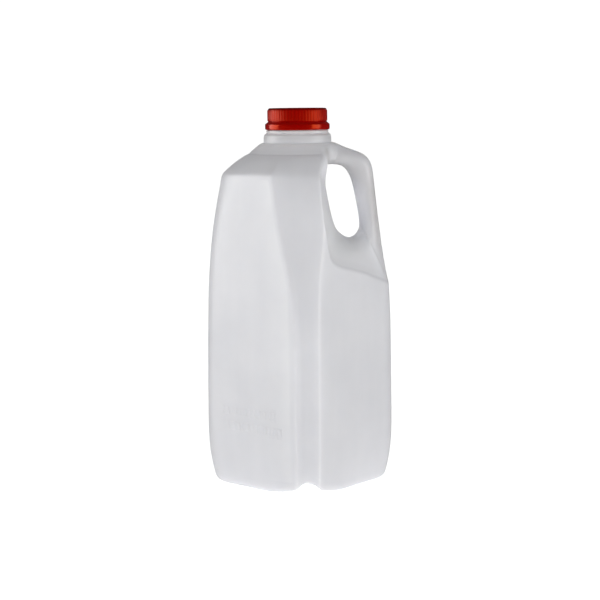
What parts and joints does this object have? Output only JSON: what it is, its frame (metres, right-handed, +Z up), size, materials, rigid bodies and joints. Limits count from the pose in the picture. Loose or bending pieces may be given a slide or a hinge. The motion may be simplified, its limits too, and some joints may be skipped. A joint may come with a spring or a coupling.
{
  "type": "plastic milk bottle",
  "caption": "Square half-gallon milk jug of natural plastic with an integral moulded handle and a red screw cap with a tear band.",
  "frame": {"origin": "centre of the footprint, on the surface the bottle stands on", "axes": "+Z up through the cap; +X towards the handle; the mould's parting plane is y = 0, so the two front faces look towards -Y"},
  "size_m": [0.1264, 0.1304, 0.2542],
  "materials": {
    "natural_plastic": "satin, milky and slightly see-through",
    "cap_red": "glossy moulded red"
  },
  "bodies": {
    "root": {"bottle": "natural_plastic", "cap": "cap_red"}
  },
  "joints": []
}
